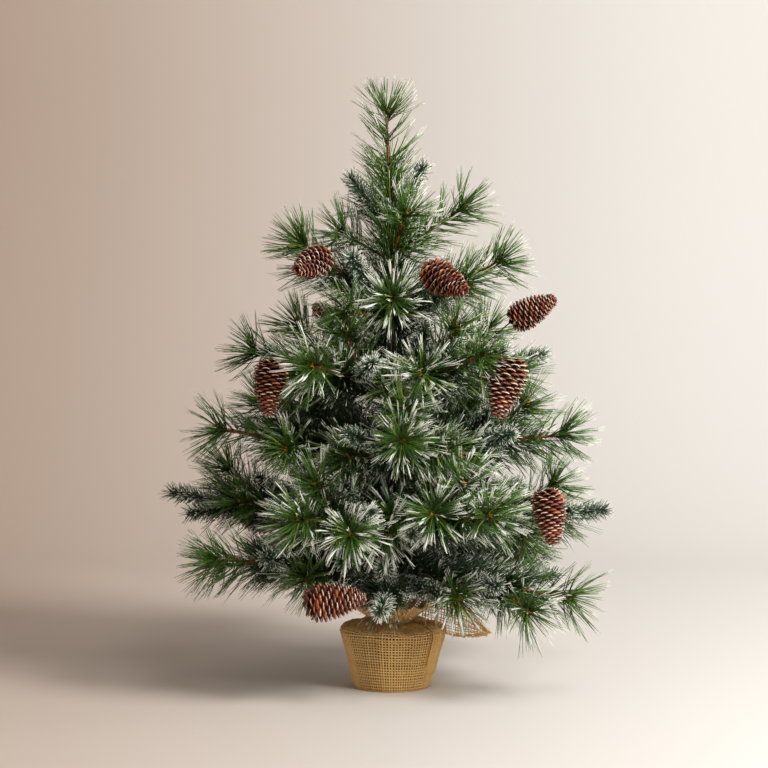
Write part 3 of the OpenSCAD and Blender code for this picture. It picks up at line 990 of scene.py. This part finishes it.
outline = np.array([
    (foot_r - 3 * MM, 0.9 * MM), (foot_r + OFF_POT, 1.4 * MM),
    (0.5 * (foot_r + rim_r) + OFF_POT, 0.5 * rim_z), (rim_r + OFF_POT, rim_z - 6 * MM),
    (rim_r + OFF_POT + 1 * MM, rim_z), (rim_r + OFF_POT - 1.6 * MM, rim_z + 3.4 * MM),
    (rim_r - 5 * MM, rim_z + 4.8 * MM), (0.5 * (rim_r + neck_r), rim_z + 6 * MM),
    (neck_r + 2 * MM, neck_z - 1 * MM), (neck_r, neck_z + 1.5 * MM),
    (neck_r + 5 * MM, neck_z + 7 * MM), (neck_r + 13 * MM, neck_z + 14 * MM),
    (neck_r + 19 * MM, neck_z + 18.5 * MM)])


def even_outline(points, step):
    """The outline as a smooth line with points a step apart, and each point's distance along it."""
    line = smooth_run(np.column_stack((points, np.zeros(len(points)))), 600)[:, :2]
    distance = np.concatenate(([0], np.cumsum(np.linalg.norm(np.diff(line, axis=0), axis=1))))
    marks = np.linspace(0, distance[-1], int(distance[-1] / step) + 1)
    return np.column_stack([np.interp(marks, distance, line[:, k]) for k in (0, 1)]), marks


profile, profile_run = even_outline(outline, PITCH)
turns = np.linspace(0, 2 * math.pi, WARPS + 1)
wrap_rng = np.random.default_rng(21)


def gathers(turn, run):
    """How far the cloth stands out from its outline, by turn and by distance up the cloth."""
    growth = np.interp(run / run[-1], GATHER_SHARES, GATHER_DEPTHS) * MM
    waves = (np.sin(7 * turn + 0.6) + 0.7 * np.sin(12 * turn + 2.1) + 0.5 * np.sin(19 * turn + 4.0)) / 1.6
    return growth[None, :] * waves[:, None]


stand_out = gathers(turns, profile_run)
slope = unit(np.gradient(profile, axis=0))
outward = np.column_stack((slope[:, 1], -slope[:, 0]))
share = profile_run / profile_run[-1]
slide = SLIDE * np.sin(3 * turns + 1.0)[:, None] * np.sin(math.pi * share)[None, :]
r = profile[None, :, 0] + stand_out * outward[None, :, 0] + slide * slope[None, :, 0]
z = profile[None, :, 1] + stand_out * outward[None, :, 1] + slide * slope[None, :, 1]
skew = SKEW * np.sin(2 * turns + math.pi)[:, None] * np.sin(1.5 * math.pi * share)[None, :]
skewed = turns[:, None] + skew
grid = np.stack((r * np.cos(skewed), r * np.sin(skewed), np.maximum(z, 0.7 * MM)), -1)
wrap = Bundle()
weave(wrap, wrap_rng, grid)
burlap = wrap.build("burlap_cloth", [burlap_jute])
dress_node(burlap, "trunk", "burlap_wrap")
print("burlap", len(burlap.data.polygons), "triangles, cloth run", round(profile_run[-1] / MM), "mm")

# %% [markdown]
# One corner of the square hangs out at the right as a loose pointed leaf of finer threads with a thick hem,
# and a folded pleat lies double down the wall below it.

# %% Loose corner and pleat
corner = Bundle()
corner_rng = np.random.default_rng(22)
CORNER_TURN = math.radians(-10)
HEM_THREADS = 5
corner_start = neck_r + 12 * MM
corner_end = wrap_high.x + 2 * MM
u = np.linspace(0, 1, 24)
v = np.linspace(-1, 1, 13)
spread = np.sin(math.pi * np.clip(0.18 + 0.82 * u, 0, 1)) ** 0.8
mid_z = wrap_high.z - 8 * MM - 16 * MM * u ** 1.2 - 10 * MM * np.clip(u - 0.7, 0, 1)
reach = corner_start + (corner_end - corner_start) * u
height = mid_z[:, None] + 17 * MM * spread[:, None] * v[None, :]
depth = 5 * MM * np.sin(2.2 * v)[None, :] * (1 - u)[:, None] + 3 * MM * np.sin(5 * u)[:, None]
cx, sx = math.cos(CORNER_TURN), math.sin(CORNER_TURN)
leaf = np.stack((reach[:, None] * cx - depth * sx, reach[:, None] * sx + depth * cx, height), -1)
weave(corner, corner_rng, leaf, 0.75 * THREAD, wander=0.3 * MM)
for hem in (leaf[:, 0], leaf[:, -1]):
    for _ in range(HEM_THREADS):
        thread = hem + corner_rng.normal(0, 0.8, hem.shape) * MM
        corner.sweep(thread[None], np.full((1, len(hem)), 1.5 * MM), np.array(((0.0, 1.0, 0.2),)), 0,
                     sides=5, thick=0.8)
corner_piece = corner.build("burlap_corner", [burlap_jute])

pleat = Bundle()
PLEAT_WARPS = 19
pleat_turns = np.linspace(math.radians(-40), math.radians(-2), PLEAT_WARPS)
rows = (profile_run > 20 * MM) & (profile_run < 0.62 * profile_run[-1])
bulge = np.sin(np.linspace(0, math.pi, PLEAT_WARPS))
lift = np.linspace(0.9, 2.6, rows.sum())[None, :] + bulge[:, None]
pleat_out = lift * MM + gathers(pleat_turns, profile_run)[:, rows]
r = profile[None, rows, 0] + pleat_out * outward[None, rows, 0]
z = profile[None, rows, 1] + pleat_out * outward[None, rows, 1]
pleat_grid = np.stack((r * np.cos(pleat_turns)[:, None], r * np.sin(pleat_turns)[:, None], z), -1)
weave(pleat, corner_rng, pleat_grid)
loose = pleat_grid[0, -16:] + np.array((0.6, -1.4, 0.0)) * MM
loose = np.concatenate((loose, loose[-1:] + np.array(((0.5, -0.5, 9), (1.5, -1, 18), (1, -1, 27))) * MM))
pleat.sweep(loose[None], np.full((1, len(loose)), 1.1 * MM), np.array(((1.0, 0.0, 0.0),)), 0,
            sides=5, thick=0.9)
pleat_piece = pleat.build("burlap_pleat", [burlap_jute])

# %% Loose fibres
fuzz = Bundle()
fuzz_rng = np.random.default_rng(23)
HAIRS = 3600
on_rim = fuzz_rng.random(HAIRS) < 0.5
rim_row = fuzz_rng.integers(int(0.42 * len(profile)), int(0.62 * len(profile)), HAIRS)
warp_pick = fuzz_rng.integers(0, WARPS, HAIRS)
pick = warp_pick, np.where(on_rim, rim_row, fuzz_rng.integers(2, len(profile), HAIRS))
root_points = grid[pick]
out = unit(surface_normals(grid)[pick] * -1 + fuzz_rng.normal(0, 0.8, (HAIRS, 3)))
curl = fuzz_rng.normal(0, 1.0, (HAIRS, 3)) * MM
reach = fuzz_rng.uniform(1.5, 5.0, (HAIRS, 1)) * MM
hairs = arc(root_points, root_points + 0.6 * reach * out + curl, root_points + reach * out, (0, 0.5, 1))
hairs[..., 2] = np.maximum(hairs[..., 2], 0.4 * MM)
fuzz.sweep(hairs, np.full((HAIRS, 3), 0.2 * MM), fuzz_rng.normal(0, 1, (HAIRS, 3)), 0)
edge = grid[:-1, -1]
frays = edge + unit(grid[:-1, -1] - grid[:-1, -3]) * fuzz_rng.uniform(2, 7, (WARPS, 1)) * MM
bend = (edge + frays) / 2 + fuzz_rng.normal(0, 0.8, edge.shape) * MM
fuzz.sweep(arc(edge, bend, frays, (0, 0.5, 1)), np.full((WARPS, 3), 0.8 * MM) * np.array((1.2, 1, 0.5)),
           fuzz_rng.normal(0, 1, edge.shape), 0)
fuzz_piece = fuzz.build("burlap_fibres", [burlap_jute])
for piece in (corner_piece, pleat_piece, fuzz_piece):
    dress_node(piece, "trunk", "burlap_wrap")
print("corner, pleat and", HAIRS, "loose fibres")

# %% [markdown]
# ## The tie
# Two turns of three-ply jute twine hold the neck. Three strands twisted round a ring give its rope look.

# %% Twine
twine = Bundle()
PLIES = 3
PLY_OFFSET = 0.55 * MM
PLY_WIDTH = 1.1 * MM
TWISTS = 22
tie_r = (tie_high.x + neck_r) / 2 + 0.4 * MM
around = np.linspace(0, 2 * math.pi, 110)
for turn_index, lift in enumerate((1.4 * MM, -1.2 * MM)):
    ring_r = tie_r + 0.5 * MM * turn_index
    for ply in range(PLIES):
        phase = TWISTS * around + 2 * math.pi * ply / PLIES
        rr = ring_r + PLY_OFFSET * np.cos(phase)
        height = neck_z + lift + PLY_OFFSET * np.sin(phase)
        path = np.stack((rr * np.cos(around), rr * np.sin(around), height), -1)
        twine.sweep(path[None], np.full((1, len(around)), PLY_WIDTH), np.array(((0.0, 0.0, 1.0),)), 0,
                    sides=6, thick=1.0)
tie_piece = twine.build("jute_twine", [twine_jute])
dress_node(tie_piece, "trunk", "jute_tie")
print("twine", len(tie_piece.data.polygons), "triangles")

# %% [markdown]
# ## Pot, weight and pole
# These CAD solids have the right shape and stay. The pot is dark plastic, taken down to near black as painted
# shade where it shows through the weave's holes, the weight is rough cement, and the pole is painted brown.

# %% Finishes of the hidden parts
# Near black: the pot's dark plastic, darkened further as painted shade in the weave's holes.
pot_plastic = plastic_material("pot_plastic", rgb(10, 7, 5), rgb(18, 13, 8), 0.95)
pole_paint = plastic_material("pole_paint", rgb(60, 38, 24), rgb(84, 54, 34), 0.45)
cement = varied_material("cement", rgb(128, 124, 116), rgb(176, 172, 164), rgb(176, 172, 164),
                         (500.0, 0.002, 0.8), cloud=160.0, Roughness=0.92)


def finish_node(node, material):
    mesh = nodes[node].data
    mesh.materials.clear()
    mesh.materials.append(material)


finish_node("pot", pot_plastic)
finish_node("trunk_pole", pole_paint)
finish_node("cement_weight", cement)

# %% [markdown]
# ## Floor and light
# A pale floor curves up into the wall behind, warm grey at the left and near white at the right, as painted shade
# that darkens the side away from the light. Seen from behind, the wall is clear. One large soft light stands at
# the right, so the shadow falls to the left.

# %% Stage
def backdrop_shade_material():
    """Painted shade: warm grey at the left, away from the light, that turns to near white at the right."""
    material, tree, shader = new_material("backdrop_painted_shade", Roughness=0.9)
    # The warm grey at the left and the near white at the right are painted shade and light across the stage.
    colour = place_group(tree, "colour", Dark=rgb(186, 165, 149), Light=rgb(192, 171, 156),
                         Odd=rgb(192, 171, 156), Odd_Share=0.0, Cloud_Scale=2.0)
    place = add(tree, "TexCoord")
    axes = add(tree, "SeparateXYZ")
    share = add(tree, "MapRange", interpolation_type="SMOOTHSTEP")
    share.inputs["From Min"].default_value = -0.85
    share.inputs["From Max"].default_value = 0.6
    mix = add(tree, "Mix", data_type="RGBA")
    mix.inputs["B"].default_value = rgb(219, 217, 214)
    wire(tree, (place.outputs["Object"], axes.inputs["Vector"]), (axes.outputs["X"], share.inputs["Value"]),
         (share.outputs["Result"], mix.inputs["Factor"]), (colour.outputs["Color"], mix.inputs["A"]),
         (mix.outputs["Result"], shader.inputs["Base Color"]))
    sides = add(tree, "NewGeometry")
    clear = add(tree, "BsdfTransparent")
    either = add(tree, "MixShader")
    surface = tree.nodes["Material Output"].inputs["Surface"]
    wire(tree, (sides.outputs["Backfacing"], either.inputs[0]), (shader.outputs["BSDF"], either.inputs[1]),
         (clear.outputs["BSDF"], either.inputs[2]), (either.outputs["Shader"], surface))
    return material


WALL_Y = 1.5
WALL_TOP = 3.6
CURVE_R = 0.7
FLOOR_FRONT = -3.2
HALF_WIDTH = 3.4
angles = np.linspace(0, math.pi / 2, 25)
sweep_y = np.concatenate(([FLOOR_FRONT, -1.0], WALL_Y - CURVE_R + CURVE_R * np.sin(angles), [WALL_Y]))
sweep_z = np.concatenate(([0, 0], CURVE_R - CURVE_R * np.cos(angles), [WALL_TOP]))
stage_mesh = bpy.data.meshes.new("backdrop")
corners = [(x, y, z) for y, z in zip(sweep_y, sweep_z) for x in (-HALF_WIDTH, HALF_WIDTH)]
panels = [(2 * k, 2 * k + 1, 2 * k + 3, 2 * k + 2) for k in range(len(sweep_y) - 1)]
stage_mesh.from_pydata(corners, [], panels)
stage_mesh.polygons.foreach_set("use_smooth", [True] * len(stage_mesh.polygons))
stage_mesh.materials.append(backdrop_shade_material())
backdrop = bpy.data.objects.new("backdrop", stage_mesh)
bpy.context.scene.collection.objects.link(backdrop)


# %% Lights
def soft_light(name, place, aim, size, power, tint):
    data = bpy.data.lights.new(name, "AREA")
    data.shape, data.size, data.energy, data.color = "DISK", size, power, tint
    light = bpy.data.objects.new(name, data)
    light.location = place
    light.rotation_euler = (Vector(aim) - Vector(place)).to_track_quat("-Z", "Y").to_euler()
    bpy.context.scene.collection.objects.link(light)


WARM_WHITE = (1.0, 0.98, 0.95)
soft_light("key", (1.6, -1.25, 1.6), (0, 0, 0.34), 0.9, 74, WARM_WHITE)
soft_light("crown", (0.5, -1.3, 2.0), (0, 0, 0.5), 0.6, 10, WARM_WHITE)
soft_light("fill", (-1.5, -2.2, 1.2), (0, 0, 0.3), 1.8, 6, WARM_WHITE)
soft_light("wall wash", (2.3, -0.1, 1.5), (1.2, 1.5, 0.7), 0.8, 12, (1.0, 0.99, 0.97))

world = bpy.data.worlds.new("soft_room")
world.use_nodes = True
world.node_tree.nodes["Background"].inputs["Color"].default_value = (1.0, 0.92, 0.83, 1)
world.node_tree.nodes["Background"].inputs["Strength"].default_value = 0.24
bpy.context.scene.world = world
bpy.context.scene.view_settings.view_transform = "Standard"
